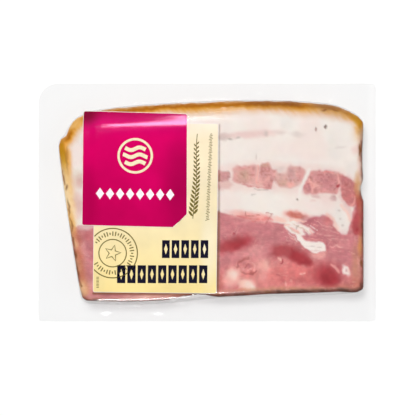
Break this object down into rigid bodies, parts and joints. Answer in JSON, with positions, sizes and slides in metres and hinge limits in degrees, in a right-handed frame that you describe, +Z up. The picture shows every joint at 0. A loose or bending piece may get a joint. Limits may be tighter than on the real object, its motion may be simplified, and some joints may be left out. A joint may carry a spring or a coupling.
{
  "type": "bacon pack",
  "caption": "Vacuum-packed slab of smoked streaky bacon in a clear sealed pouch, lying flat, with a cream and magenta label stuck on top.",
  "frame": {"origin": "middle of the pouch's flat underside", "axes": "+X along the length of the pouch, +Y towards the rind edge of the slab, +Z up through the label"},
  "size_m": [0.19, 0.134, 0.0181],
  "materials": {
    "pouch_film": "clear vacuum film drawn tight over pink and white bacon",
    "bacon": "moist cured pork, white fat and pink lean, with a browned rind",
    "label_cream": "printed label paper under a satin varnish",
    "label_magenta": "printed label paper under a gloss laminate"
  },
  "bodies": {
    "root": {"sealed_pouch": "pouch_film", "cream_label": "label_cream", "magenta_panel": "label_magenta"}
  },
  "joints": []
}
